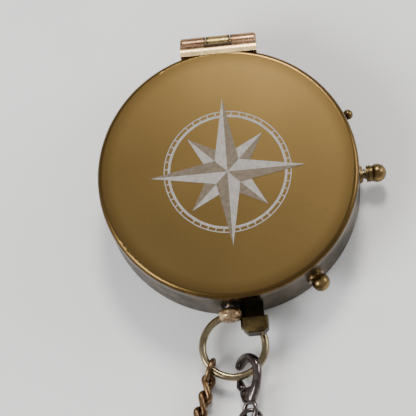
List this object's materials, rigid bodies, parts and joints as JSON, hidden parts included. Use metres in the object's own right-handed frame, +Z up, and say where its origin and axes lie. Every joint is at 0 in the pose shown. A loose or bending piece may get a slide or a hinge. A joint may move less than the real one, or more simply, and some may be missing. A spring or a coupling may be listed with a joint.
{
  "type": "pocket compass",
  "caption": "Round brass pocket compass with a hinged lid, needle clamp, lid release button, bow ring, chain and clasp.",
  "frame": {"origin": "centre of the case's flat back, on the surface that it lies on", "axes": "+Z up through the lid, +Y to the hinge, +X to the needle clamp's button"},
  "size_m": [0.062, 0.129, 0.014],
  "materials": {
    "lid_brass": "satin antique brass",
    "case_brass": "dark tarnished brass",
    "hinge_brass": "worn brass",
    "knob_brass": "polished by use",
    "lug_brass": "dark olive brass",
    "bow_brass": "worn antique brass wire",
    "chain_copper": "antique copper brown",
    "clasp_gunmetal": "dark plated, bright edges",
    "dial_silver": "matt printed",
    "ring_silver": "matt printed",
    "crystal_glass": "clear",
    "needle_steel": "blued",
    "jewel_ruby": "polished jewel",
    "works_brass": "bright machined",
    "spring_steel": "bright wire"
  },
  "bodies": {
    "case": {"case_cup": "case_brass", "case_hinge_knuckle": "hinge_brass", "hinge_pin": "works_brass", "dial_plate": "dial_silver", "degree_ring": "ring_silver", "pivot_post": "works_brass", "crystal": "crystal_glass", "bezel_ring": "works_brass", "clamp_bush": "knob_brass", "release_bush": "lug_brass", "upper_stud": "knob_brass", "lower_ball_stud": "knob_brass", "ring_lug": "lug_brass", "lever_bracket": "works_brass", "lever_pin": "spring_steel"},
    "lid": {"lid_shell": "lid_brass", "lid_hinge_strap": "hinge_brass", "lid_catch_lip": "works_brass"},
    "lifter_collar": {"lifter_collar": "works_brass"},
    "needle": {"needle_blade": "needle_steel", "needle_cap": "works_brass", "needle_jewel": "jewel_ruby"},
    "lifter_lever": {"lifter_lever": "spring_steel"},
    "clamp_button": {"clamp_button": "knob_brass", "clamp_clip": "spring_steel", "clamp_spring": "spring_steel"},
    "release_button": {"release_button": "knob_brass", "lid_catch": "spring_steel", "release_spring": "spring_steel"},
    "bow": {"bow_ring": "bow_brass", "chain_end_ring": "chain_copper", "chain_links": "chain_copper", "clasp_end_ring": "chain_copper", "clasp_body": "clasp_gunmetal", "clasp_pin": "clasp_gunmetal"},
    "clasp_lever": {"clasp_lever": "clasp_gunmetal"}
  },
  "joints": [
    {"name": "lid_open", "type": "hinge", "parent": "case", "child": "lid", "pos_m": [0, 0.0283, 0.0111], "axis": [-1, 0, 0], "range_deg": [0, 115]},
    {"name": "clamp_push", "type": "slide", "parent": "case", "child": "clamp_button", "axis": [-1, 0, 0], "range_m": [0, 0.0006], "stiffness_N_per_m": 100, "springref_m": -0.002, "deforming": ["clamp_spring"]},
    {"name": "lever_tilt", "type": "hinge", "parent": "case", "child": "lifter_lever", "pos_m": [0.01, 0, 0.0032], "axis": [0, 1, 0], "range_deg": [0, 4.5]},
    {"name": "collar_lift", "type": "slide", "parent": "case", "child": "lifter_collar", "axis": [0, 0, 1], "range_m": [0, 0.001]},
    {"name": "needle_spin", "type": "hinge", "parent": "lifter_collar", "child": "needle", "pos_m": [0, 0, 0.0075], "axis": [0, 0, 1], "continuous": true},
    {"name": "release_push", "type": "slide", "parent": "case", "child": "release_button", "axis": [0, 1, 0], "range_m": [0, 0.0006], "stiffness_N_per_m": 100, "springref_m": -0.002, "deforming": ["release_spring"]},
    {"name": "bow_swing", "type": "hinge", "parent": "case", "child": "bow", "pos_m": [0.0006, -0.02725, 0.0038], "axis": [-0.9063, 0.4226, 0], "range_deg": [0, 24]},
    {"name": "clasp_open", "type": "hinge", "parent": "bow", "child": "clasp_lever", "pos_m": [-0.00051, -0.04283, 0.00241], "axis": [0.7313, -0.0073, -0.682], "range_deg": [0, 16], "stiffness_Nm_per_rad": 0.0003, "springref_deg": -28.65}
  ],
  "couplings": [
    {"joint": "lever_tilt", "follows": "clamp_push", "rad_per_m": 130.8},
    {"joint": "collar_lift", "follows": "clamp_push", "ratio": 1.66}
  ]
}
